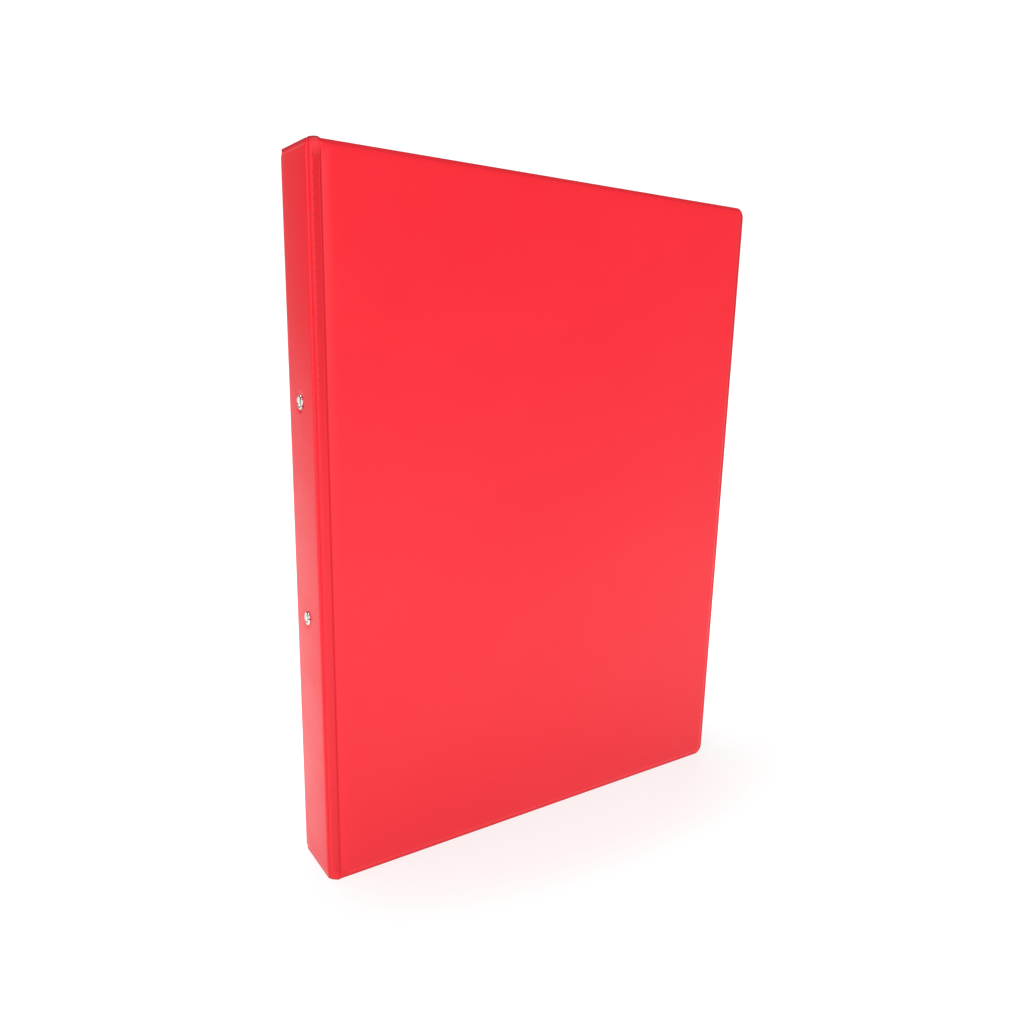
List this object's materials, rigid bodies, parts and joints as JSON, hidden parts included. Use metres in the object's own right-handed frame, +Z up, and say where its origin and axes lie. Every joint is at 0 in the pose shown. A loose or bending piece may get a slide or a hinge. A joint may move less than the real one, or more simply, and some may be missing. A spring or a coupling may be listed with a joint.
{
  "type": "two-ring binder",
  "caption": "A4 ring binder: red PVC welded over boards, hinged front and back covers, and a riveted two-ring mechanism whose half rings open in pairs.",
  "frame": {"origin": "middle of the underside of the closed, upright binder, its rivets included", "axes": "+Z up along the spine, +X from the spine to the covers' free edges, +Y from the front cover to the back cover"},
  "size_m": [0.2412, 0.036, 0.32],
  "materials": {
    "red_pvc_outside": "satin, finely grained",
    "red_pvc_inside": "satin, finely grained",
    "greyboard": "matt",
    "nickel_plate": "bright nickel plate",
    "nickel_wire": "bright nickel plate",
    "nickel_rivet": "bright nickel plate"
  },
  "bodies": {
    "spine": {"spine_board": "greyboard", "spine_outer_sheet": "red_pvc_outside", "spine_lining": "red_pvc_inside", "front_hinge_web": "red_pvc_outside", "back_hinge_web": "red_pvc_outside", "mechanism_cover_plate": "nickel_plate", "spine_rivets": "nickel_rivet"},
    "front_cover": {"front_board": "greyboard", "front_outer_sheet": "red_pvc_outside", "front_lining": "red_pvc_inside"},
    "back_cover": {"back_board": "greyboard", "back_outer_sheet": "red_pvc_outside", "back_lining": "red_pvc_inside"},
    "front_rail_set": {"front_rail": "nickel_plate", "front_upper_half_ring": "nickel_wire", "front_lower_half_ring": "nickel_wire"},
    "back_rail_set": {"back_rail": "nickel_plate", "back_upper_half_ring": "nickel_wire", "back_lower_half_ring": "nickel_wire"}
  },
  "joints": [
    {"name": "front_cover_hinge", "type": "hinge", "parent": "spine", "child": "front_cover", "pos_m": [-0.11678, -0.0167, 0.16], "axis": [0, 0, -1], "range_deg": [-1.5, 178], "deforming": ["front_hinge_web"]},
    {"name": "back_cover_hinge", "type": "hinge", "parent": "spine", "child": "back_cover", "pos_m": [-0.11678, 0.0167, 0.16], "axis": [0, 0, 1], "range_deg": [-1.5, 178], "deforming": ["back_hinge_web"]},
    {"name": "front_rail_pivot", "type": "hinge", "parent": "spine", "child": "front_rail_set", "pos_m": [-0.11547, -0.0066, 0.1713], "axis": [0, 0, -1], "range_deg": [0, 11]},
    {"name": "back_rail_pivot", "type": "hinge", "parent": "spine", "child": "back_rail_set", "pos_m": [-0.11547, 0.0066, 0.1713], "axis": [0, 0, 1], "range_deg": [0, 11]}
  ],
  "couplings": [
    {"joint": "back_rail_pivot", "follows": "front_rail_pivot", "ratio": 1}
  ]
}
